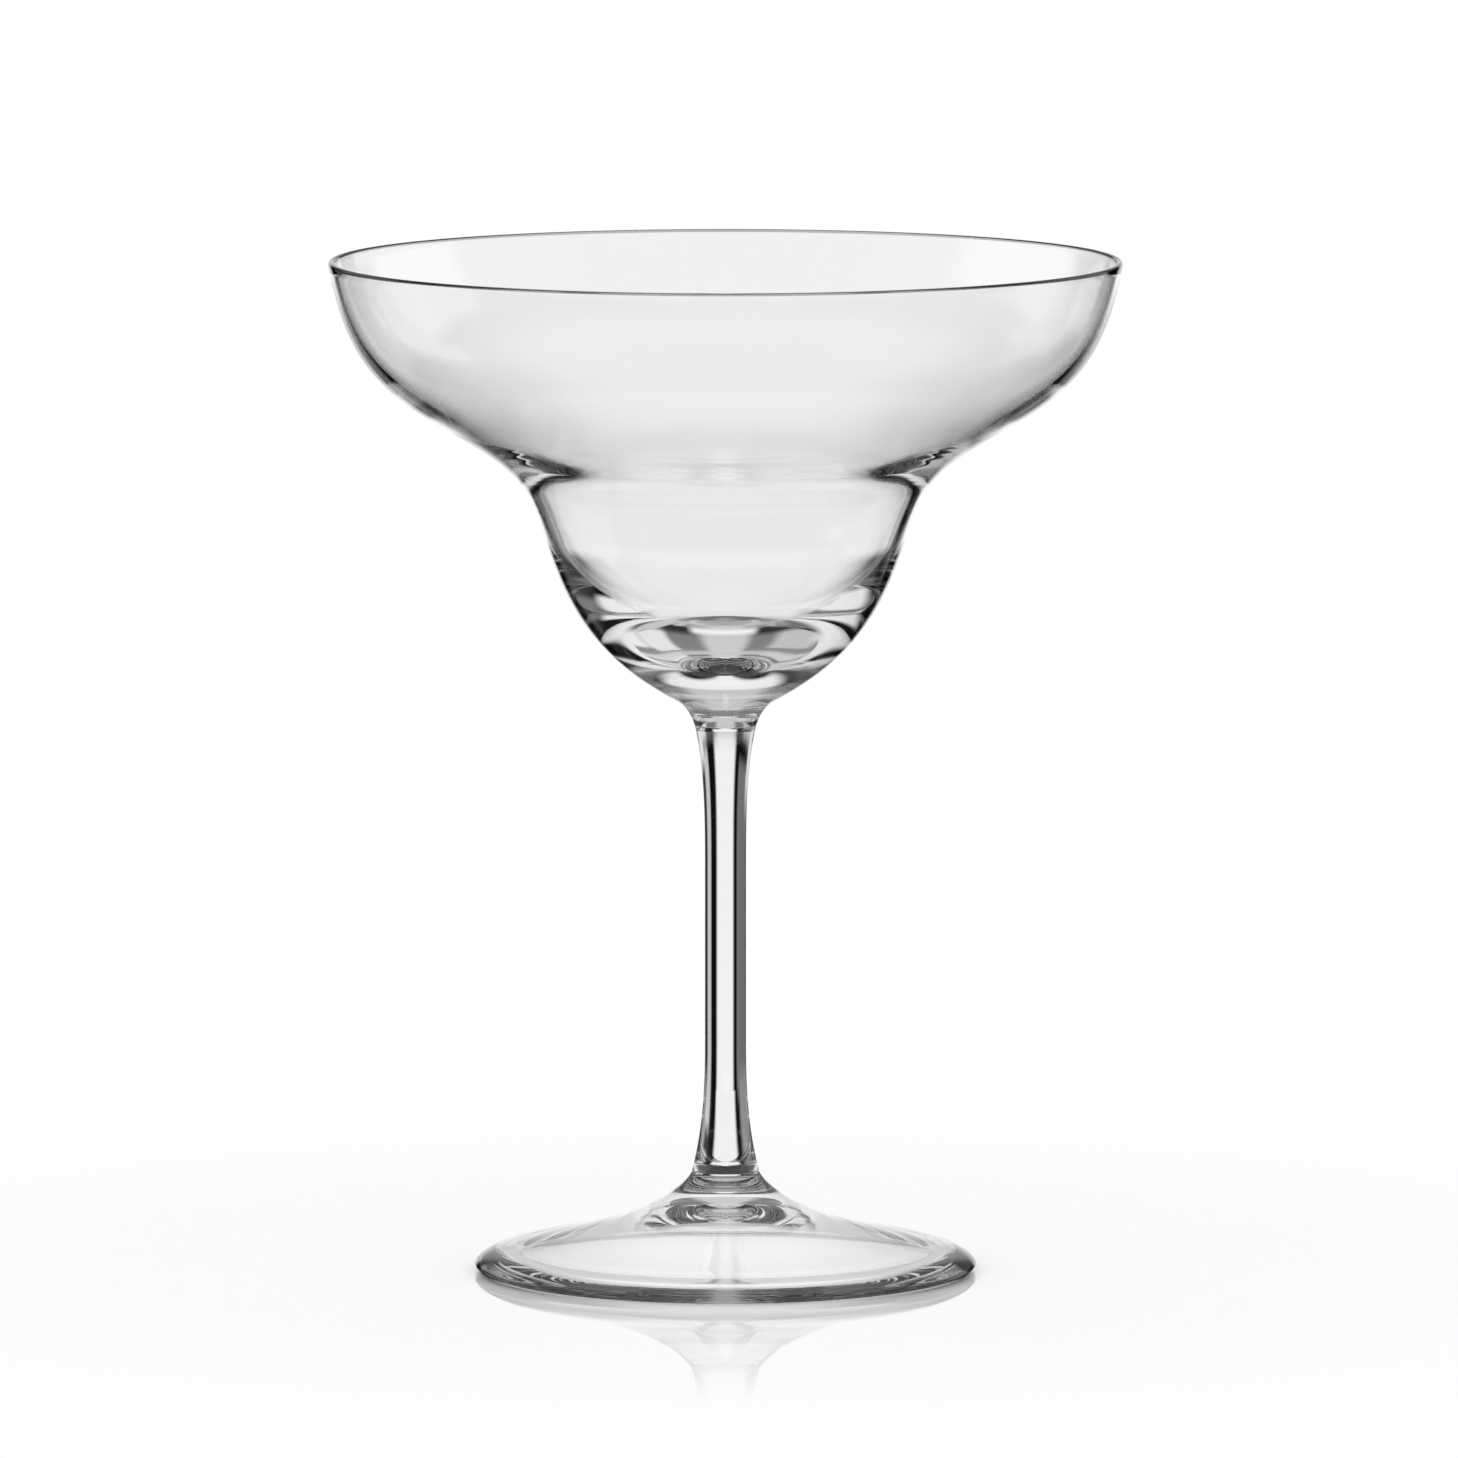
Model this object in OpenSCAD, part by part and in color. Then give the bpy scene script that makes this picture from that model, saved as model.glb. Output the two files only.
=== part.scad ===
// A stemmed cocktail glass whose bowl is a wide saucer stepped over a narrow cup.
// Three pieces of clear glass, a foot, a stem and a bowl, are fused end to end.
// Millimetres, +Z up. The origin is the centre of the foot, on the table.
// Every outline is drawn from the top down, as smooth curves between a few lines
// of known diameter and height, and is then turned about the Z axis.

/* [Foot] */
// Widest diameter of the foot
foot_d = 79.2; // [64:0.2:96]
// Height of the joint with the stem above the table
foot_h = 15.7; // [12:0.1:20]
// How far in from the widest line the top starts to turn over into the edge
turn_in = 7.6; // [5:0.1:12]
// Height of that turn above the table
turn_h = 4.5; // [3.4:0.1:6.4]
// Height of the widest line above the table
edge_h = 1.2; // [0.8:0.1:2]
// How far in from the widest line the foot meets the table
rest_in = 2.1; // [1:0.1:3]
// Width of the flat ring that the foot stands on
rest_w = 2; // [1:0.1:4]
// Thickness of the glass on the axis, from the hollow under the foot up to the joint
hub_t = 6.7; // [5:0.1:9]
// Lean of the collar just below the joint, from upright, in degrees
collar_lean = 30; // [18:1:42]
// Fall of the top at the turn, from level, in degrees
top_fall = 9; // [4:0.5:14]
// Rise of the hollow at the ring, from level, in degrees
arch_rise = 13; // [8:0.5:16]

/* [Stem] */
// Diameter of the joint between the foot and the stem
foot_joint_d = 10.7; // [8.6:0.1:13]
// Diameter of the joint between the stem and the bowl
bowl_joint_d = 9.7; // [8:0.1:12]
// Diameter of the straight part of the stem
waist_d = 6.5; // [4.5:0.1:8]
// Length of the flare above the foot
lower_flare_l = 20.7; // [12:0.1:34]
// Length of the straight part
waist_l = 24; // [8:0.2:60]
// Length of the flare below the bowl
upper_flare_l = 26.2; // [14:0.2:40]
// Lean of the stem at the foot joint, from upright, in degrees
lower_lean = 14; // [4:1:22]
// Lean of the stem at the bowl joint, from upright, in degrees
upper_lean = 13; // [4:1:20]

/* [Bowl outside] */
// Outside diameter of the rim
rim_d = 124.8; // [110:0.2:145]
// Height of the saucer, from the middle of the step to the rim
saucer_h = 26.5; // [18:0.1:38]
// Lean of the saucer at the rim, from upright, in degrees
rim_lean = 10; // [0:1:20]
// Diameter at the middle of the step between saucer and cup
step_d = 87.4; // [76:0.2:100]
// Lean of the wall at the middle of the step, from upright, in degrees
step_lean = 60; // [48:1:68]
// Height from the steepest line of the cup to the middle of the step
step_h = 17.9; // [13:0.1:24]
// Diameter of the cup at its steepest line
cup_d = 56.2; // [48:0.2:64]
// Lean of the cup at its steepest line, from upright, in degrees
cup_lean = 17; // [8:1:26]
// Height of the cup, from the neck to its steepest line
cup_h = 25.1; // [20:0.1:32]
// Diameter at which the neck turns out into the cup
neck_d = 15.4; // [13:0.1:18]
// Lean of the cup at the neck, from upright, in degrees
neck_lean = 62; // [52:1:70]
// Height of the neck, from its joint with the stem to the cup
neck_h = 3.9; // [2.8:0.1:5.4]
// Lean of the neck at its joint with the stem, from upright, in degrees
joint_lean = 20; // [8:1:30]

/* [Bowl inside] */
// Thickness of the glass at the rim, which is also the width of the round lip
rim_wall = 1; // [0.7:0.1:2]
// Thickness of the glass at the middle of the step
step_wall = 1.4; // [0.9:0.1:2.4]
// Thickness of the glass at the steepest line of the cup
cup_wall = 1.9; // [1.2:0.1:3.4]
// Thickness of the glass on the axis, from the joint to the floor of the cup
base_t = 11.6; // [8:0.1:18]

/* [Hidden] */
$fn = 180;
glass_tint = [0.86, 0.9, 0.91, 0.55];

// Parts of each curve's chord that its two handles are long
collar_shares = [0.21, 0.36];
edge_shares = [0.75, 0.06];
under_shares = [0.3, 0.45];
arch_shares = [0.6, 0.25];
upper_flare_shares = [0.29, 0.38];
lower_flare_shares = [0.45, 0.3];
saucer_shares = [0.49, 0.37];
step_shares = [0.55, 0.4];
inner_step_shares = [0.62, 0.5];
cup_shares = [0.38, 0.4];
neck_shares = [0.36, 0.34];
floor_shares = [0.33, 0.42];

// Straight pieces that each curve is drawn with
curve_steps = 28;

// Directions that several curves start or end in, as leans from straight down
upright = 0;
level_in = 90;

// Heights at which the three pieces meet
foot_joint_z = foot_h;
bowl_joint_z = foot_joint_z + lower_flare_l + waist_l + upper_flare_l;

// Lines of the foot, each as radius and height
foot_joint = [foot_joint_d / 2, foot_joint_z];
turn_line = [foot_d / 2 - turn_in, turn_h];
edge_line = [foot_d / 2, edge_h];
rest_outer = [foot_d / 2 - rest_in, 0];
rest_inner = rest_outer - [rest_w, 0];
hollow_middle = [0, foot_joint_z - hub_t];

// Lines of the stem
waist_bottom = [waist_d / 2, foot_joint_z + lower_flare_l];
waist_top = waist_bottom + [0, waist_l];
bowl_joint = [bowl_joint_d / 2, bowl_joint_z];

// Lines of the bowl's outside
neck_line = [neck_d / 2, bowl_joint_z + neck_h];
cup_line = [cup_d / 2, neck_line.y + cup_h];
step_line = [step_d / 2, cup_line.y + step_h];
lip_centre = [rim_d - rim_wall, 2 * (step_line.y + saucer_h) - rim_wall] / 2;
rim_line = lip_centre + rim_wall / 2 * out(rim_lean);

// Lines of the bowl's inside, each a wall's thickness square to the outside
rim_inside = rim_line - rim_wall * out(rim_lean);
step_inside = step_line - step_wall * out(step_lean);
cup_inside = cup_line - cup_wall * out(cup_lean);
floor_middle = [0, bowl_joint_z + base_t];

// The way down along a wall that leans, and the way out of it, square to it
function down(lean) = [-sin(lean), -cos(lean)];
function out(lean) = [cos(lean), -sin(lean)];

// The point at t on a cubic curve with the ends a and d and the handles b and c
function cubic(a, b, c, d, t) =
    pow(1 - t, 3) * a + 3 * pow(1 - t, 2) * t * b + 3 * (1 - t) * pow(t, 2) * c + pow(t, 3) * d;

// A curve down from one line to the next, without its last point
function curve(from, from_lean, to, to_lean, shares) =
    let (chord = norm(to - from))
    let (from_handle = from + shares[0] * chord * down(from_lean))
    let (to_handle = to - shares[1] * chord * down(to_lean))
    [for (i = [0 : curve_steps - 1]) cubic(from, from_handle, to_handle, to, i / curve_steps)];

// The same points in the other order
function backwards(points) = [for (i = [len(points) - 1 : -1 : 0]) points[i]];

// The foot: a pressed plate of nearly even thickness, with a collar on top and a hollow below
function foot_outline() = concat(
    [[0, foot_joint_z]],
    curve(foot_joint, -collar_lean, turn_line, top_fall - level_in, collar_shares),
    curve(turn_line, top_fall - level_in, edge_line, upright, edge_shares),
    curve(edge_line, upright, rest_outer, level_in, under_shares),
    [rest_outer],
    curve(rest_inner, level_in + arch_rise, hollow_middle, level_in, arch_shares),
    [hollow_middle]);

// The stem: a solid rod, drawn thin in the middle
function stem_outline() = concat(
    [[0, bowl_joint_z]],
    curve(bowl_joint, upper_lean, waist_top, upright, upper_flare_shares),
    [waist_top],
    curve(waist_bottom, upright, foot_joint, -lower_lean, lower_flare_shares),
    [foot_joint, [0, foot_joint_z]]);

// The outside of the bowl, from the rim down to its joint with the stem
function bowl_outside() = concat(
    curve(rim_line, rim_lean, step_line, step_lean, saucer_shares),
    curve(step_line, step_lean, cup_line, cup_lean, step_shares),
    curve(cup_line, cup_lean, neck_line, neck_lean, cup_shares),
    curve(neck_line, neck_lean, bowl_joint, joint_lean, neck_shares),
    [bowl_joint]);

// The inside of the bowl, from the rim down to the middle of its floor. It turns more sharply
// from the step into the cup than the outside does, so the wall is thickest at that turn
function bowl_inside() = concat(
    curve(rim_inside, rim_lean, step_inside, step_lean, saucer_shares),
    curve(step_inside, step_lean, cup_inside, cup_lean, inner_step_shares),
    curve(cup_inside, cup_lean, floor_middle, level_in, floor_shares),
    [floor_middle]);

// The round lip, from the inside of the wall over the top to the outside
function lip() =
    [for (i = [1 : curve_steps - 1])
        let (turn = 180 * (1 - i / curve_steps))
        lip_centre + rim_wall / 2 * (cos(turn) * out(rim_lean) - sin(turn) * down(rim_lean))];

// An outline turned about the Z axis
module turned(outline) {
    color(glass_tint)
        rotate_extrude()
            polygon(outline);
}

module foot() {
    turned(foot_outline());
}

module stem() {
    turned(stem_outline());
}

// The bowl: blown thin at the rim, with a heavy base drawn down into a short neck
module bowl() {
    turned(concat(backwards(bowl_inside()), lip(), bowl_outside(), [[0, bowl_joint_z]]));
}

foot();
stem();
bowl();
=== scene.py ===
"""Looks of a stemmed margarita glass: a foot, a stem and a bowl of clear glass, fused end to end.

Each piece is turned from a smooth outline, in the frame of the solids. The glass stands on a pale
table, in a dark tent with a few bright openings and with a low white card behind the foot, much as
clear glass is lit on a white ground. Outlines are in millimetres and degrees, the tent's openings are
in degrees, and everything else is in metres.
"""

import logging
import math
from dataclasses import dataclass
from enum import Enum
from typing import ClassVar

import bmesh
import bpy
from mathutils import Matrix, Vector
from mathutils.geometry import interpolate_bezier


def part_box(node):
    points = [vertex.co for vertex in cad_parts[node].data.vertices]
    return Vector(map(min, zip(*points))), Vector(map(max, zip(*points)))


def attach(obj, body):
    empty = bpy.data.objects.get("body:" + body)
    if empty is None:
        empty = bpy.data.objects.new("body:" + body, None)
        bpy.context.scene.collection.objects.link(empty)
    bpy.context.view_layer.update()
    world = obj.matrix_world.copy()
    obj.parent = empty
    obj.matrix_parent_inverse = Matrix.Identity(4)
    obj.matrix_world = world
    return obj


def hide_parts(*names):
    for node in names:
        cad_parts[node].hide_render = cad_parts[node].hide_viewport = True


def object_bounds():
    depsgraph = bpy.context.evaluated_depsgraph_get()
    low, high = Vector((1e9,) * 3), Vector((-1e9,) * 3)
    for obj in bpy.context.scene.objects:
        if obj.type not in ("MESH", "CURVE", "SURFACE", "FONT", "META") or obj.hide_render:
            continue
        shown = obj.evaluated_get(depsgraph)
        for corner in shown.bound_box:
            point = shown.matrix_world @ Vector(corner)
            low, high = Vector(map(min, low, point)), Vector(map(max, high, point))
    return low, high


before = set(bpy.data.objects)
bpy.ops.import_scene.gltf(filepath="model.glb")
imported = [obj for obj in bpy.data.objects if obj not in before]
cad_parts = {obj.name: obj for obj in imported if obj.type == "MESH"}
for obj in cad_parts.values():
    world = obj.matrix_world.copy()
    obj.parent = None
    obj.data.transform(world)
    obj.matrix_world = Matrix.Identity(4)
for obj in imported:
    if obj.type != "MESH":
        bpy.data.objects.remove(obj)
CAD_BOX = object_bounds()

LOG = logging.getLogger("margarita_glass")
BODY = "root"
MM = 0.001

# Straight pieces that each curve of an outline, and each turn about the axis, is drawn with
CURVE_STEPS = 40
LIP_STEPS = 16
TURN_STEPS = 240

# Ways down along an outline, in degrees from straight down towards the axis
UPRIGHT = 0.0
LEVEL_IN = 90.0

# A distance past the end of the glass, for an edge that a finish doesn't have
NOWHERE = 1.0

# Azimuths of an opening that goes all round the tent
ALL_ROUND = (-400.0, 400.0)

Shares = tuple[float, float]
Colour = tuple[float, float, float]
Place = tuple[float, float, float]
WHITE = (1.0, 1.0, 1.0, 1.0)


class Surface(Enum):
    """What a band of faces is, which is also its material slot."""

    POLISHED = 0
    FUSED = 1


class Slot(Enum):
    """The record's material slots."""

    FOOT = "foot_glass"
    STEM = "stem_glass"
    BOWL = "bowl_glass"


@dataclass(frozen=True)
class Line:
    """A level line round the glass, where two curves of an outline meet.

    The lean is the outline's way down there, from straight down, positive towards the axis.
    """

    radius: float
    height: float
    lean: float = UPRIGHT

    @property
    def point(self) -> Vector:
        """The line's radius and height."""
        return Vector((self.radius, self.height))

    def down(self) -> Vector:
        """The way down along the outline."""
        return Vector((-math.sin(math.radians(self.lean)), -math.cos(math.radians(self.lean))))

    def out(self) -> Vector:
        """The way out of the glass, square to the outline."""
        return Vector((math.cos(math.radians(self.lean)), -math.sin(math.radians(self.lean))))

    def moved_in(self, wall: float) -> "Line":
        """The line on the other side of a wall of that thickness, with the same lean."""
        point = self.point - wall * self.out()
        return Line(point.x, point.y, self.lean)


def curve(start: Line, end: Line, shares: Shares) -> list[Vector]:
    """Draws a smooth curve down from one line to the next.

    Args:
        start: The upper line, whose lean the curve leaves with.
        end: The lower line, whose lean the curve arrives with.
        shares: How long the curve's two handles are, as shares of its chord.

    Returns:
        The curve's points without the last one, which starts the next curve.
    """
    chord = (end.point - start.point).length
    start_handle = start.point + shares[0] * chord * start.down()
    end_handle = end.point - shares[1] * chord * end.down()
    points = interpolate_bezier(start.point, start_handle, end_handle, end.point, CURVE_STEPS + 1)
    return points[:-1]


def on_axis(height: float) -> Vector:
    """The point of the axis at that height."""
    return Vector((0.0, height))


def node_box(node: str) -> tuple[Vector, Vector]:
    """Lowest and highest corner of a solid, in millimetres."""
    low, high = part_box(node)
    return low / MM, high / MM


class NodeSheet:
    """A node tree with short ways to add and link its nodes."""

    def __init__(self, tree: bpy.types.NodeTree) -> None:
        """Starts on an empty tree."""
        self.tree = tree
        tree.nodes.clear()

    def add(self, kind: str, **inputs: object) -> bpy.types.Node:
        """Adds a node and fills its inputs.

        Args:
            kind: The node's type, without the ShaderNode that all of them start with.
            inputs: Values or output sockets by input name, with _ for each space.

        Returns:
            The new node.
        """
        node = self.tree.nodes.new("ShaderNode" + kind)
        for name, value in inputs.items():
            self.fill(node.inputs[name.replace("_", " ")], value)
        return node

    def fill(self, socket: bpy.types.NodeSocket, value: object) -> None:
        """Links an output socket to an input, or sets the input to a plain value."""
        if isinstance(value, bpy.types.NodeSocket):
            self.tree.links.new(value, socket)
        else:
            socket.default_value = value

    def math(self, operation: str, *values: object) -> bpy.types.NodeSocket:
        """Adds a Math node on those values and returns its result."""
        node = self.tree.nodes.new("ShaderNodeMath")
        node.operation = operation
        for socket, value in zip(node.inputs, values):
            self.fill(socket, value)
        return node.outputs[0]

    def ramp(self, value: object, low: object, high: object) -> bpy.types.NodeSocket:
        """Adds a Map Range node that goes smoothly from 0 at low to 1 at high and returns its result."""
        node = self.tree.nodes.new("ShaderNodeMapRange")
        node.interpolation_type = "SMOOTHSTEP"
        for name, given in (("Value", value), ("From Min", low), ("From Max", high)):
            self.fill(node.inputs[name], given)
        return node.outputs["Result"]


def new_group(name: str, inputs: tuple[str, ...], outputs: dict[str, str]) -> bpy.types.NodeTree:
    """Makes an empty shader node group.

    Args:
        name: The group's name.
        inputs: Names of its inputs, all of them plain numbers.
        outputs: Socket types by output name.

    Returns:
        The group, with no nodes in it yet.
    """
    group = bpy.data.node_groups.new(name, "ShaderNodeTree")
    for label in inputs:
        group.interface.new_socket(label, in_out="INPUT", socket_type="NodeSocketFloat")
    for label, kind in outputs.items():
        group.interface.new_socket(label, in_out="OUTPUT", socket_type=kind)
    return group


class FirePolishAndEdgeShade:
    """The faint marks that a flame leaves on glass, and a painted shade at the glass's edges, as one node
    group for every finish.
    """

    NAME: ClassVar[str] = "fire_polish_and_edge_shade"
    INPUTS: ClassVar[tuple[str, ...]] = (
        "Ripple Scale", "Along Axis", "Film Scale", "Least Film", "Most Film",
        "Edge Height", "Edge Radius", "Edge Blend")
    OUTPUTS: ClassVar[dict[str, str]] = {
        "Height": "NodeSocketFloat", "Roughness": "NodeSocketFloat",
        "Tint": "NodeSocketColor", "Edge": "NodeSocketFloat"}
    RIPPLE_DETAIL: ClassVar[float] = 1.0
    FILM_DETAIL: ClassVar[float] = 3.0
    # The glass's own colour where the film is least and most
    TINTS: ClassVar[tuple[Colour, Colour]] = ((0.988, 0.995, 0.991), (0.996, 0.999, 0.997))

    def __init__(self) -> None:
        """Builds the group."""
        self.group = new_group(self.NAME, self.INPUTS, self.OUTPUTS)
        sheet = NodeSheet(self.group)
        given = self.group.nodes.new("NodeGroupInput").outputs
        result = self.group.nodes.new("NodeGroupOutput").inputs
        place = sheet.add("TexCoord").outputs["Object"]
        axes = sheet.add("SeparateXYZ", Vector=place)
        along = sheet.math("MULTIPLY", axes.outputs["Z"], given["Along Axis"])
        drawn = sheet.add("CombineXYZ", X=axes.outputs["X"], Y=axes.outputs["Y"], Z=along).outputs["Vector"]
        ripple = sheet.add("TexNoise", Vector=drawn, Scale=given["Ripple Scale"], Detail=self.RIPPLE_DETAIL)
        film = sheet.add("TexNoise", Vector=place, Scale=given["Film Scale"], Detail=self.FILM_DETAIL)
        sheet.fill(result["Height"], ripple.outputs["Fac"])
        spread = sheet.math("SUBTRACT", given["Most Film"], given["Least Film"])
        rough = sheet.math("MULTIPLY_ADD", film.outputs["Fac"], spread, given["Least Film"])
        sheet.fill(result["Roughness"], rough)
        tint = sheet.add("ValToRGB", Fac=film.outputs["Fac"])
        for element, colour in zip(tint.color_ramp.elements, self.TINTS):
            element.color = (*colour, 1.0)
        sheet.fill(result["Tint"], tint.outputs["Color"])
        across = sheet.add("CombineXYZ", X=axes.outputs["X"], Y=axes.outputs["Y"])
        radius = sheet.add("VectorMath", Vector=across.outputs["Vector"])
        radius.operation = "LENGTH"
        # Painted edge shade: a mask that is 1 above Edge Height or outside Edge Radius, where the glass is
        # seen edge on
        painted_edge_mask = 0.0
        limits = ((axes.outputs["Z"], "Edge Height"), (radius.outputs["Value"], "Edge Radius"))
        for distance, limit in limits:
            end = sheet.math("ADD", given[limit], given["Edge Blend"])
            painted_edge_mask = sheet.math("MAXIMUM", painted_edge_mask, sheet.ramp(distance, given[limit], end))
        sheet.fill(result["Edge"], painted_edge_mask)


@dataclass(frozen=True)
class GlassFinish:
    """A finish of clear glass: how it was shaped shows as ripples and a trace of film.

    Ripples are this many to the metre, drawn out along the axis by the share along_axis, and ripple_height
    is their height in metres. Film is the least and most roughness that handling leaves. Above
    edge_height, or outside edge_radius, where the glass is seen edge on, its colour is darkened by a
    painted shade that stands in for the dark edge line that light through the glass gives there.
    """

    name: str
    ripples: float
    along_axis: float
    ripple_height: float
    film: tuple[float, float] = (0.0, 0.02)
    film_scale: float = 90.0
    # Where the painted edge shade goes, and its dark colour, which stands in for the shade at the glass's
    # edge
    edge_height: float = NOWHERE
    edge_radius: float = NOWHERE
    edge_blend: float = 0.0001
    painted_edge_shade: Colour = (0.3, 0.3, 0.3)
    bending: float = 1.52

    def material(self, polish_and_shade: FirePolishAndEdgeShade) -> bpy.types.Material:
        """Makes the finish's material around the shared group of marks and painted edge shade."""
        made = bpy.data.materials.new(self.name)
        made.use_nodes = True
        sheet = NodeSheet(made.node_tree)
        marks = sheet.add("Group")
        marks.node_tree = polish_and_shade.group
        values = (self.ripples, self.along_axis, self.film_scale, *self.film,
                  self.edge_height, self.edge_radius, self.edge_blend)
        for label, value in zip(polish_and_shade.INPUTS, values):
            marks.inputs[label].default_value = value
        bump = sheet.add("Bump", Height=marks.outputs["Height"], Distance=self.ripple_height)
        # Painted edge shade: the base colour goes from white to the dark edge colour inside the edge mask
        edge = sheet.add("ValToRGB", Fac=marks.outputs["Edge"])
        edge.color_ramp.elements[0].color = WHITE
        edge.color_ramp.elements[1].color = (*self.painted_edge_shade, 1.0)
        tint = sheet.add("VectorMath")
        tint.operation = "MULTIPLY"
        sheet.fill(tint.inputs[0], marks.outputs["Tint"])
        sheet.fill(tint.inputs[1], edge.outputs["Color"])
        glass = sheet.add("BsdfPrincipled", Base_Color=tint.outputs["Vector"], IOR=self.bending)
        glass.inputs["Transmission Weight"].default_value = 1.0
        sheet.fill(glass.inputs["Roughness"], marks.outputs["Roughness"])
        sheet.fill(glass.inputs["Normal"], bump.outputs["Normal"])
        sheet.add("OutputMaterial", Surface=glass.outputs["BSDF"])
        return made


def fused_material() -> bpy.types.Material:
    """The faces at which two pieces are fused: one body of glass, so nothing shows there."""
    made = bpy.data.materials.new("fused_joint")
    made.use_nodes = True
    sheet = NodeSheet(made.node_tree)
    clear = sheet.add("BsdfPrincipled", Alpha=0.0)
    sheet.add("OutputMaterial", Surface=clear.outputs["BSDF"])
    return made


@dataclass
class TurnedPiece:
    """A piece of the glass, turned about the Z axis from its outline."""

    finish: GlassFinish
    NAME: ClassVar[str]
    NODE: ClassVar[str]
    SLOT: ClassVar[Slot]
    # Whether the outline's first and last stretch is a face that is fused to the next piece
    FUSED_ENDS: ClassVar[tuple[bool, bool]]

    def outline(self) -> list[Vector]:
        """The piece's outline, from the axis round to the axis."""
        raise NotImplementedError

    def build(self) -> bpy.types.Object:
        """Turns the outline into a closed, smooth mesh.

        Returns:
            The new object, in metres, at the origin of the frame.
        """
        mesh = bpy.data.meshes.new(self.NAME)
        shape = bmesh.new()
        rings = [self.ring(shape, point) for point in self.outline()]
        for number, (upper, lower) in enumerate(zip(rings, rings[1:])):
            first, last = number == 0, number == len(rings) - 2
            fused = (first and self.FUSED_ENDS[0]) or (last and self.FUSED_ENDS[1])
            self.join(shape, upper, lower, Surface.FUSED if fused else Surface.POLISHED)
        bmesh.ops.recalc_face_normals(shape, faces=shape.faces)
        shape.to_mesh(mesh)
        shape.free()
        piece = bpy.data.objects.new(self.NAME, mesh)
        bpy.context.scene.collection.objects.link(piece)
        return piece

    @staticmethod
    def ring(shape: bmesh.types.BMesh, point: Vector) -> list[bmesh.types.BMVert]:
        """Adds the vertices of one point turned about the axis: a ring, or one vertex on the axis."""
        radius, height = point * MM
        if math.isclose(radius, 0.0, abs_tol=MM * MM):
            return [shape.verts.new((0.0, 0.0, height))]
        turns = (math.tau * step / TURN_STEPS for step in range(TURN_STEPS))
        return [shape.verts.new((radius * math.cos(t), radius * math.sin(t), height)) for t in turns]

    @staticmethod
    def join(shape: bmesh.types.BMesh, upper: list[bmesh.types.BMVert], lower: list[bmesh.types.BMVert],
             surface: Surface) -> None:
        """Adds the band of faces between two rings, either of which may be one vertex."""
        for step in range(TURN_STEPS):
            ahead = (step + 1) % TURN_STEPS
            if len(upper) == 1:
                corners = (upper[0], lower[step], lower[ahead])
            elif len(lower) == 1:
                corners = (upper[step], lower[0], upper[ahead])
            else:
                corners = (upper[step], lower[step], lower[ahead], upper[ahead])
            face = shape.faces.new(corners)
            face.material_index = surface.value
            face.smooth = surface is Surface.POLISHED

    def dress(self, piece: bpy.types.Object, polish_and_shade: FirePolishAndEdgeShade, fused: bpy.types.Material) -> None:
        """Gives the piece its materials and its place in the frame.

        Args:
            piece: The object that build made.
            polish_and_shade: The shared marks of the flame and the painted edge shade.
            fused: The material of fused faces.
        """
        piece.data.materials.append(self.finish.material(polish_and_shade))
        piece.data.materials.append(fused)
        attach(piece, BODY)
        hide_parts(self.NODE)
        LOG.info("%s: %d faces, %s", self.NAME, len(piece.data.polygons), self.finish.name)


@dataclass
class Foot(TurnedPiece):
    """The foot: a pressed plate of nearly even thickness, with a collar on top and a hollow below."""

    NAME: ClassVar[str] = "glass_foot"
    NODE: ClassVar[str] = "foot"
    SLOT: ClassVar[Slot] = Slot.FOOT
    FUSED_ENDS: ClassVar[tuple[bool, bool]] = (True, False)
    joint_d: float = 10.7
    turn_in: float = 7.6
    turn_h: float = 4.5
    edge_h: float = 1.2
    rest_in: float = 2.1
    rest_w: float = 2.0
    hub_t: float = 6.7
    collar_lean: float = 30.0
    top_fall: float = 9.0
    arch_rise: float = 13.0
    collar_shares: Shares = (0.21, 0.36)
    edge_shares: Shares = (0.75, 0.06)
    under_shares: Shares = (0.3, 0.45)
    arch_shares: Shares = (0.6, 0.25)

    def outline(self) -> list[Vector]:
        """The foot's outline, from its joint over the edge to the middle of the hollow."""
        low, high = node_box(self.NODE)
        joint = Line(self.joint_d / 2, high.z, -self.collar_lean)
        turn = Line(high.x - self.turn_in, self.turn_h, self.top_fall - LEVEL_IN)
        edge = Line(high.x, self.edge_h)
        rest_outer = Line(high.x - self.rest_in, low.z, LEVEL_IN)
        rest_inner = Line(rest_outer.radius - self.rest_w, low.z, LEVEL_IN + self.arch_rise)
        hollow = Line(0.0, high.z - self.hub_t, LEVEL_IN)
        return [
            on_axis(high.z),
            *curve(joint, turn, self.collar_shares),
            *curve(turn, edge, self.edge_shares),
            *curve(edge, rest_outer, self.under_shares),
            rest_outer.point,
            *curve(rest_inner, hollow, self.arch_shares),
            hollow.point,
        ]


@dataclass
class Stem(TurnedPiece):
    """The stem: a solid rod, drawn thin in the middle."""

    NAME: ClassVar[str] = "glass_stem"
    NODE: ClassVar[str] = "stem"
    SLOT: ClassVar[Slot] = Slot.STEM
    FUSED_ENDS: ClassVar[tuple[bool, bool]] = (True, True)
    foot_joint_d: float = 10.7
    bowl_joint_d: float = 9.7
    waist_d: float = 6.5
    lower_flare_l: float = 20.7
    upper_flare_l: float = 26.2
    lower_lean: float = 14.0
    upper_lean: float = 13.0
    upper_shares: Shares = (0.29, 0.38)
    lower_shares: Shares = (0.45, 0.3)

    def outline(self) -> list[Vector]:
        """The stem's outline, from its joint with the bowl to its joint with the foot."""
        low, high = node_box(self.NODE)
        bowl_joint = Line(self.bowl_joint_d / 2, high.z, self.upper_lean)
        waist_top = Line(self.waist_d / 2, high.z - self.upper_flare_l)
        waist_bottom = Line(self.waist_d / 2, low.z + self.lower_flare_l)
        foot_joint = Line(self.foot_joint_d / 2, low.z, -self.lower_lean)
        return [
            on_axis(high.z),
            *curve(bowl_joint, waist_top, self.upper_shares),
            waist_top.point,
            *curve(waist_bottom, foot_joint, self.lower_shares),
            foot_joint.point,
            on_axis(low.z),
        ]


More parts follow.
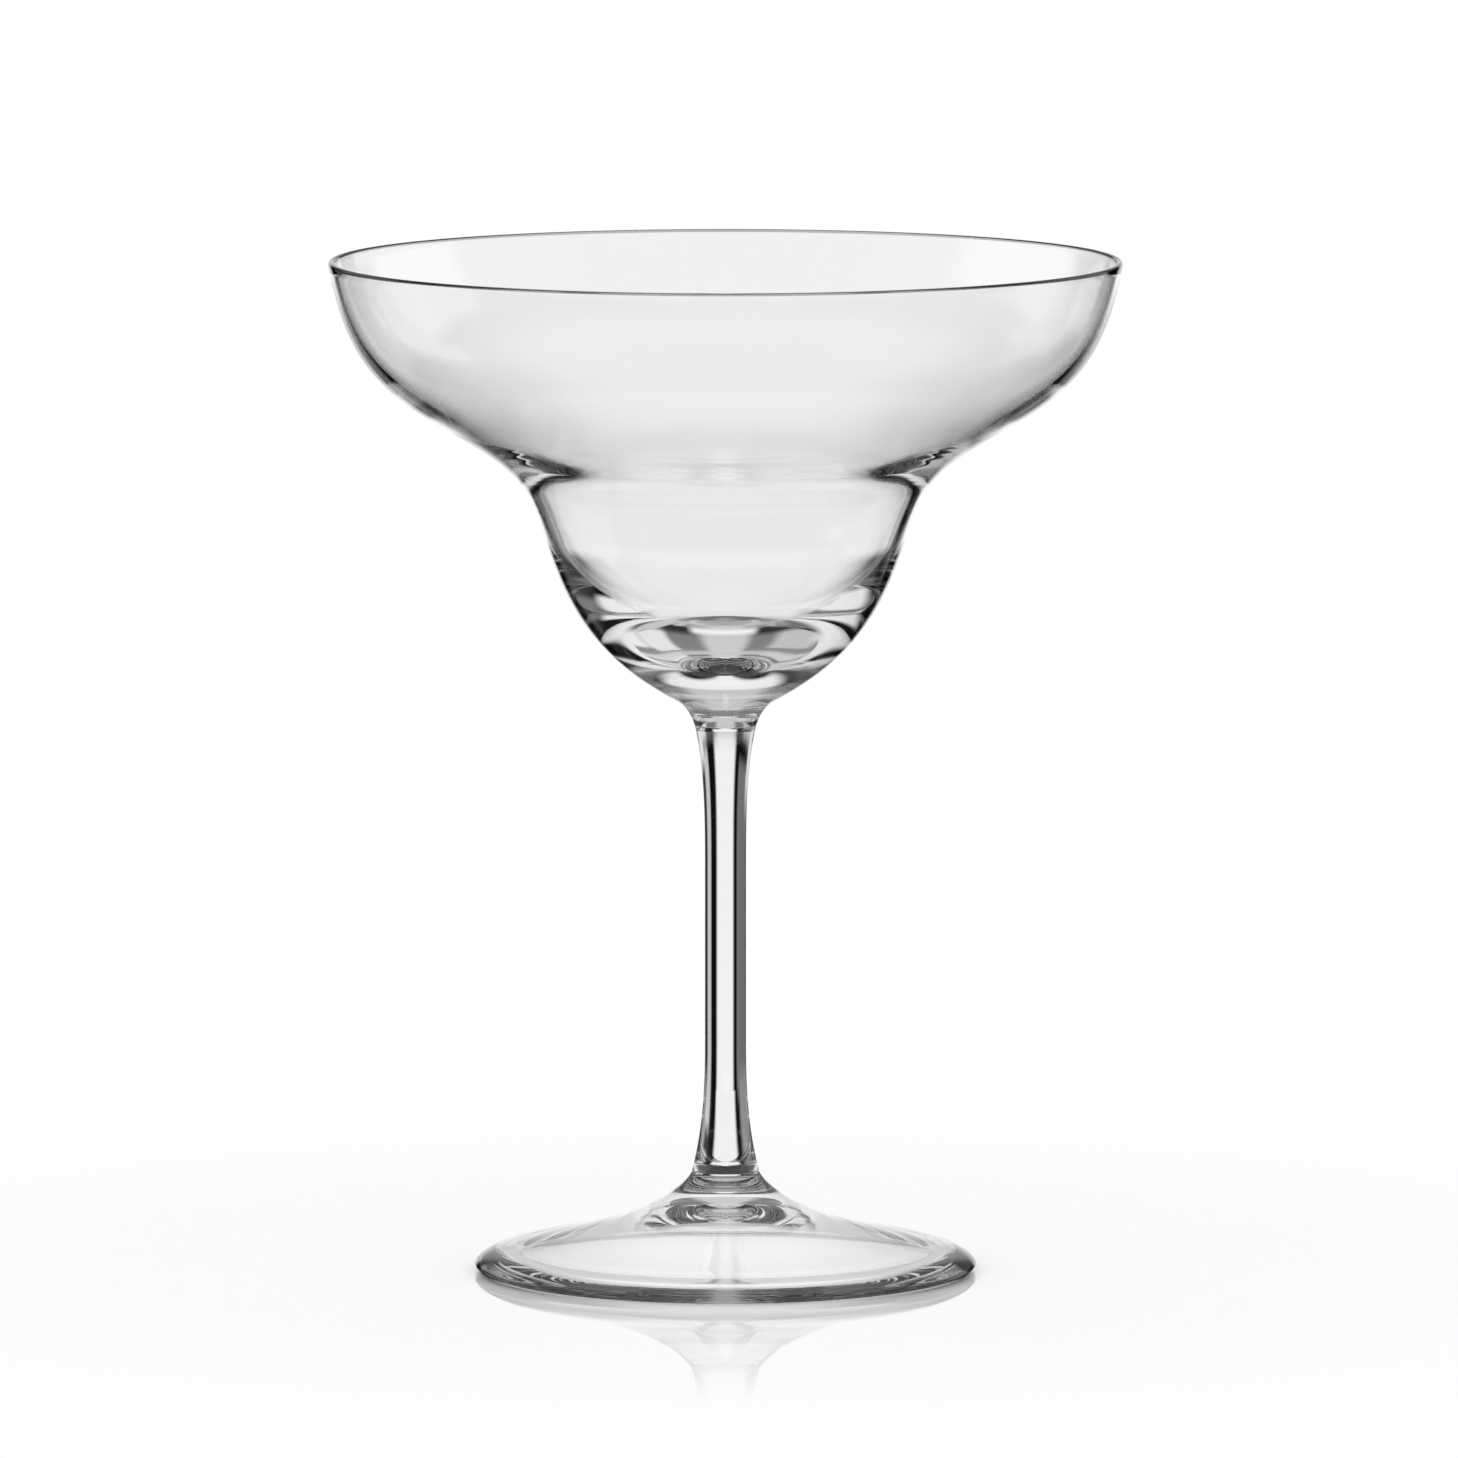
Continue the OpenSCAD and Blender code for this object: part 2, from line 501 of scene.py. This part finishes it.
@dataclass
class Bowl(TurnedPiece):
    """The bowl: a wide saucer stepped over a cup, with a heavy base drawn down into a short neck."""

    NAME: ClassVar[str] = "glass_bowl"
    NODE: ClassVar[str] = "bowl"
    SLOT: ClassVar[Slot] = Slot.BOWL
    FUSED_ENDS: ClassVar[tuple[bool, bool]] = (False, True)
    joint_d: float = 9.7
    saucer_h: float = 26.5
    rim_lean: float = 10.0
    step_d: float = 87.4
    step_lean: float = 60.0
    cup_d: float = 56.2
    cup_lean: float = 17.0
    cup_h: float = 25.1
    neck_d: float = 15.4
    neck_lean: float = 62.0
    neck_h: float = 3.9
    joint_lean: float = 20.0
    rim_wall: float = 1.0
    step_wall: float = 1.4
    cup_wall: float = 1.9
    base_t: float = 11.6
    saucer_shares: Shares = (0.49, 0.37)
    step_shares: Shares = (0.55, 0.4)
    inner_step_shares: Shares = (0.62, 0.5)
    cup_shares: Shares = (0.38, 0.4)
    neck_shares: Shares = (0.36, 0.34)
    floor_shares: Shares = (0.33, 0.42)

    def outline(self) -> list[Vector]:
        """The bowl's outline, from its floor up the inside, over the lip and down the outside."""
        low, high = node_box(self.NODE)
        joint = Line(self.joint_d / 2, low.z, self.joint_lean)
        neck = Line(self.neck_d / 2, low.z + self.neck_h, self.neck_lean)
        cup = Line(self.cup_d / 2, neck.height + self.cup_h, self.cup_lean)
        step = Line(self.step_d / 2, high.z - self.saucer_h, self.step_lean)
        lip = Line(high.x - self.rim_wall / 2, high.z - self.rim_wall / 2, self.rim_lean)
        rim = lip.moved_in(-self.rim_wall / 2)
        step_in, cup_in = step.moved_in(self.step_wall), cup.moved_in(self.cup_wall)
        floor = Line(0.0, low.z + self.base_t, LEVEL_IN)
        inside = [
            *curve(rim.moved_in(self.rim_wall), step_in, self.saucer_shares),
            *curve(step_in, cup_in, self.inner_step_shares),
            *curve(cup_in, floor, self.floor_shares),
            floor.point,
        ]
        outside = [
            *curve(rim, step, self.saucer_shares),
            *curve(step, cup, self.step_shares),
            *curve(cup, neck, self.cup_shares),
            *curve(neck, joint, self.neck_shares),
            joint.point,
            on_axis(low.z),
        ]
        return [*reversed(inside), *self.lip_points(lip), *outside]

    def lip_points(self, lip: Line) -> list[Vector]:
        """The round lip's points, over the top from the inside of the wall to the outside."""
        turns = (math.pi * (1 - step / LIP_STEPS) for step in range(1, LIP_STEPS))
        half = self.rim_wall / 2
        return [lip.point + half * (math.cos(t) * lip.out() - math.sin(t) * lip.down()) for t in turns]


@dataclass(frozen=True)
class PhotoCamera:
    """The camera, aimed at the glass from a little above, at the photograph's angle and distance."""

    lens: float = 419.3
    sensor: float = 36.0
    pitch: float = 6.26
    distance: float = 2.6737
    aim: Place = (0.00055, 0.0, 0.086)

    def build(self) -> bpy.types.Object:
        """Makes the camera and hands it to the scene."""
        data = bpy.data.cameras.new("photo_camera")
        data.lens, data.sensor_width = self.lens, self.sensor
        camera = bpy.data.objects.new("photo_camera", data)
        bpy.context.scene.collection.objects.link(camera)
        fall = math.radians(self.pitch)
        camera.location = Vector(self.aim) + self.distance * Vector((0.0, -math.cos(fall), math.sin(fall)))
        camera.rotation_euler = (math.pi / 2 - fall, 0.0, 0.0)
        bpy.context.scene.camera = camera
        return camera


def hang(light: bpy.types.Object, camera: bpy.types.Object) -> None:
    """Hangs a light from the camera, as lights keep their place while a glass turns on its table."""
    bpy.context.view_layer.update()
    light.parent = camera
    light.matrix_parent_inverse = camera.matrix_world.inverted()


@dataclass(frozen=True)
class TentOpening:
    """A soft-edged opening in the tent, in degrees seen from the glass.

    Azimuth is from straight behind the glass, positive to the right, and elevation is from level. The
    share is how much of the white outside the opening lets through.
    """

    name: str
    azimuths: tuple[float, float]
    elevations: tuple[float, float]
    azimuth_edge: float
    elevation_edge: float
    share: float


OPENINGS: tuple[TentOpening, ...] = (
    TentOpening("backdrop", (-15.5, 17.5), (-15.0, 6.0), 6.0, 8.0, 0.96),
    TentOpening("sweep", (-7.0, 7.0), (-50.0, -9.0), 8.0, 4.0, 0.96),
    TentOpening("left_box", (-103.0, -52.0), (-2.0, 24.0), 14.0, 8.0, 0.92),
    TentOpening("right_box", (48.0, 90.0), (4.0, 32.0), 10.0, 6.0, 0.95),
    TentOpening("left_window", (-56.0, -28.0), (8.0, 34.0), 8.0, 6.0, 0.45),
    TentOpening("right_window", (32.0, 48.0), (8.0, 40.0), 5.0, 6.0, 0.8),
    TentOpening("overhead", ALL_ROUND, (48.0, 120.0), 1.0, 20.0, 0.6),
    TentOpening("room", (-125.0, 125.0), (8.0, 70.0), 30.0, 8.0, 0.2),
    TentOpening("middle_back", (-13.0, 13.0), (3.0, 50.0), 8.0, 4.0, 0.52),
    TentOpening("left_strip", (-60.0, -24.0), (-12.0, 2.0), 4.0, 4.0, 0.17),
    TentOpening("right_strip", (34.0, 51.0), (-19.0, 6.0), 6.0, 5.0, 0.6),
    TentOpening("left_low", (-80.0, -30.0), (-30.0, -11.0), 10.0, 6.0, 0.3),
    TentOpening("right_low", (46.0, 80.0), (-30.0, -11.0), 10.0, 6.0, 0.35),
    TentOpening("low_ring", ALL_ROUND, (-62.0, -32.0), 1.0, 10.0, 0.05),
    TentOpening("table_glow", ALL_ROUND, (-120.0, -60.0), 1.0, 20.0, 0.04),
)


@dataclass
class LightTent:
    """A dark tent round the set, whose openings show the white outside to the glass."""

    openings: tuple[TentOpening, ...] = OPENINGS
    radius: float = 20.0
    sides: int = 48
    rings: int = 24
    cloth: float = 0.004
    INPUTS: ClassVar[tuple[str, ...]] = (
        "Closed", "Azimuth", "Elevation", "Left", "Right", "Bottom", "Top",
        "Side Edge", "Level Edge", "Share")

    def opening_group(self) -> bpy.types.NodeTree:
        """Makes the group that cuts one opening: it takes and gives how closed the tent is."""
        group = new_group("tent_opening", self.INPUTS, {"Closed": "NodeSocketFloat"})
        sheet = NodeSheet(group)
        given = group.nodes.new("NodeGroupInput").outputs
        result = group.nodes.new("NodeGroupOutput").inputs
        edges = (("Azimuth", "Left", "Right", "Side Edge"), ("Elevation", "Bottom", "Top", "Level Edge"))
        opened = given["Share"]
        for angle, low, high, edge in edges:
            half = sheet.math("MULTIPLY", given[edge], 0.5)
            for end, way in ((low, 1.0), (high, -1.0)):
                inward = sheet.math("MULTIPLY", half, way)
                outer = sheet.math("SUBTRACT", given[end], inward)
                inner = sheet.math("ADD", given[end], inward)
                opened = sheet.math("MULTIPLY", opened, sheet.ramp(given[angle], outer, inner))
        rest = sheet.math("SUBTRACT", 1.0, opened)
        sheet.fill(result["Closed"], sheet.math("MULTIPLY", given["Closed"], rest))
        return group

    def material(self) -> bpy.types.Material:
        """Makes the cloth, see-through where an opening is."""
        made = bpy.data.materials.new("tent_cloth")
        made.use_nodes = True
        made.cycles.emission_sampling = "NONE"
        sheet = NodeSheet(made.node_tree)
        place = sheet.add("TexCoord").outputs["Object"]
        way = sheet.add("VectorMath", Vector=place)
        way.operation = "NORMALIZE"
        axes = sheet.add("SeparateXYZ", Vector=way.outputs["Vector"]).outputs
        azimuth = sheet.math("DEGREES", sheet.math("ARCTAN2", axes["X"], axes["Y"]))
        elevation = sheet.math("DEGREES", sheet.math("ARCSINE", axes["Z"]))
        group = self.opening_group()
        closed = 1.0
        for opening in self.openings:
            cut = sheet.add("Group")
            cut.node_tree, cut.label = group, opening.name
            values = (closed, azimuth, elevation, *opening.azimuths, *opening.elevations,
                      opening.azimuth_edge, opening.elevation_edge, opening.share)
            for label, value in zip(self.INPUTS, values):
                sheet.fill(cut.inputs[label], value)
            closed = cut.outputs["Closed"]
        cloth = sheet.add("Emission", Strength=self.cloth)
        cover = sheet.add("MixShader", Fac=closed)
        sheet.fill(cover.inputs[1], sheet.add("BsdfTransparent").outputs["BSDF"])
        sheet.fill(cover.inputs[2], cloth.outputs["Emission"])
        sheet.add("OutputMaterial", Surface=cover.outputs["Shader"])
        return made

    def build(self, camera: bpy.types.Object) -> bpy.types.Object:
        """Hangs the tent round the glass, for its reflections and what shows through it alone."""
        mesh = bpy.data.meshes.new("light_tent")
        shape = bmesh.new()
        bmesh.ops.create_uvsphere(shape, u_segments=self.sides, v_segments=self.rings, radius=self.radius)
        shape.to_mesh(mesh)
        shape.free()
        tent = bpy.data.objects.new("light_tent", mesh)
        bpy.context.scene.collection.objects.link(tent)
        mesh.materials.append(self.material())
        tent.visible_camera = tent.visible_diffuse = tent.visible_shadow = False
        tent.location = (CAD_BOX[0] + CAD_BOX[1]) / 2
        hang(tent, camera)
        LOG.info("light_tent: %d openings", len(self.openings))
        return tent


@dataclass(frozen=True)
class BackCard:
    """A low white card behind the foot, which lights the stem's flare.

    A grid in front of it keeps it from showing at a slant, such as from the bowl above.
    """

    behind: float = 0.044
    height: float = 0.02
    half_width: float = 0.015
    soft_edge: float = 0.005
    grid: tuple[float, float] = (0.15, 0.35)
    share: float = 0.96

    def material(self) -> bpy.types.Material:
        """Makes the card's white, which fades out at both sides and at a slant."""
        made = bpy.data.materials.new("back_card")
        made.use_nodes = True
        made.cycles.emission_sampling = "NONE"
        sheet = NodeSheet(made.node_tree)
        place = sheet.add("SeparateXYZ", Vector=sheet.add("TexCoord").outputs["Object"])
        aside = sheet.math("ABSOLUTE", place.outputs["X"])
        past_side = sheet.ramp(aside, self.half_width - self.soft_edge, self.half_width)
        slant = sheet.ramp(sheet.add("LayerWeight").outputs["Facing"], *self.grid)
        card = sheet.add("MixShader", Fac=sheet.math("MAXIMUM", past_side, slant))
        sheet.fill(card.inputs[1], sheet.add("Emission", Strength=self.share).outputs["Emission"])
        sheet.fill(card.inputs[2], sheet.add("BsdfTransparent").outputs["BSDF"])
        sheet.add("OutputMaterial", Surface=card.outputs["Shader"])
        return made

    def build(self, camera: bpy.types.Object) -> bpy.types.Object:
        """Hangs the card straight behind the foot, for what shows through the glass alone."""
        mesh = bpy.data.meshes.new("back_card")
        sides = (-self.half_width, self.half_width)
        corners = [(x, 0.0, z) for z in (0.0, self.height) for x in sides]
        mesh.from_pydata(corners, [], [(0, 1, 3, 2)])
        card = bpy.data.objects.new("back_card", mesh)
        bpy.context.scene.collection.objects.link(card)
        mesh.materials.append(self.material())
        card.location = (0.0, self.behind, CAD_BOX[0].z)
        card.visible_camera = card.visible_diffuse = card.visible_shadow = card.visible_glossy = False
        hang(card, camera)
        LOG.info("back_card: %.0f mm high", self.height / MM)
        return card


@dataclass
class Table:
    """A pale, polished table top, in which the glass is mirrored close to its foot.

    The mirror image is a set of copies upside down below the top, which is see-through by as much as a
    polished top would mirror. So the white ground stays white from every side. To rays that come through
    the glass, the top is wholly see-through, so the glass shows the tent below it.
    """

    radius: float = 3.0
    sides: int = 128
    colour: Colour = (0.95, 0.95, 0.95)
    bending: float = 1.5
    mirror_near: float = 0.05
    mirror_far: float = 0.15

    def material(self) -> bpy.types.Material:
        """Makes the top: matt white, and less so where it mirrors the glass."""
        made = bpy.data.materials.new("table_top")
        made.use_nodes = True
        sheet = NodeSheet(made.node_tree)
        place = sheet.add("TexCoord").outputs["Object"]
        away = sheet.add("VectorMath", Vector=place)
        away.operation = "LENGTH"
        near = sheet.ramp(away.outputs["Value"], self.mirror_far, self.mirror_near)
        shine = sheet.math("MULTIPLY", near, sheet.add("Fresnel", IOR=self.bending).outputs["Fac"])
        through_glass = sheet.add("LightPath").outputs["Is Transmission Ray"]
        top = sheet.add("MixShader", Fac=sheet.math("MAXIMUM", shine, through_glass))
        sheet.fill(top.inputs[1], sheet.add("BsdfDiffuse", Color=(*self.colour, 1.0)).outputs["BSDF"])
        sheet.fill(top.inputs[2], sheet.add("BsdfTransparent").outputs["BSDF"])
        sheet.add("OutputMaterial", Surface=top.outputs["Shader"])
        return made

    def build(self) -> bpy.types.Object:
        """Makes the round top, level with the bottom of the foot."""
        mesh = bpy.data.meshes.new("table_top")
        shape = bmesh.new()
        bmesh.ops.create_circle(shape, cap_ends=True, segments=self.sides, radius=self.radius)
        shape.to_mesh(mesh)
        shape.free()
        table = bpy.data.objects.new("table_top", mesh)
        bpy.context.scene.collection.objects.link(table)
        mesh.materials.append(self.material())
        table.location.z = CAD_BOX[0].z
        table.visible_glossy = False
        LOG.info("table_top: %.1f m across", 2 * self.radius)
        return table

    @staticmethod
    def mirror(piece: bpy.types.Object) -> bpy.types.Object:
        """Hangs a piece's mirror image below the top, hidden from rays that come through glass."""
        image = bpy.data.objects.new("mirrored_" + piece.name, piece.data)
        bpy.context.scene.collection.objects.link(image)
        image.scale.z = -1.0
        image.location.z = 2 * CAD_BOX[0].z
        image.visible_diffuse = image.visible_shadow = image.visible_transmission = False
        return image


@dataclass(frozen=True)
class Surroundings:
    """The white outside: plain light on the table, and the background that the camera and the glass see."""

    light: float = 1.08
    background: float = 1.0
    bounces: int = 64

    def build(self) -> None:
        """Makes the world and lets light through as many walls of glass as it meets."""
        scene = bpy.context.scene
        scene.world = bpy.data.worlds.new("white_outside")
        scene.world.use_nodes = True
        sheet = NodeSheet(scene.world.node_tree)
        path = sheet.add("LightPath").outputs
        seen = sheet.math("MAXIMUM", path["Is Camera Ray"], path["Is Glossy Ray"])
        seen = sheet.math("MAXIMUM", seen, path["Is Transmission Ray"])
        strength = sheet.math("MULTIPLY_ADD", seen, self.background - self.light, self.light)
        outside = sheet.add("Background", Strength=strength, Color=WHITE)
        sheet.add("OutputWorld", Surface=outside.outputs["Background"])
        scene.view_settings.view_transform = "Standard"
        scene.cycles.max_bounces = scene.cycles.transmission_bounces = self.bounces
        scene.cycles.glossy_bounces = scene.cycles.transparent_max_bounces = self.bounces


# The foot's outer rim and the bowl's lip are darkened with a painted edge shade
PRESSED = GlassFinish(
    "pressed_glass", ripples=70.0, along_axis=1.0, ripple_height=0.00002, edge_radius=0.038,
    edge_blend=0.001, painted_edge_shade=(0.3, 0.31, 0.32))
DRAWN = GlassFinish("drawn_glass", ripples=260.0, along_axis=0.12, ripple_height=0.000004)
BLOWN = GlassFinish(
    "blown_glass", ripples=40.0, along_axis=2.0, ripple_height=0.000006, edge_height=0.1595,
    painted_edge_shade=(0.3, 0.3, 0.26))


def main() -> None:
    """Builds the set, then the glass from the foot up."""
    logging.basicConfig(level=logging.INFO, format="%(message)s")
    Surroundings().build()
    camera = PhotoCamera().build()
    LightTent().build(camera)
    BackCard().build(camera)
    table = Table()
    table.build()
    polish_and_shade, fused = FirePolishAndEdgeShade(), fused_material()
    for part in (Foot(PRESSED), Stem(DRAWN), Bowl(BLOWN)):
        piece = part.build()
        part.dress(piece, polish_and_shade, fused)
        table.mirror(piece)


if __name__ == "__main__":
    main()
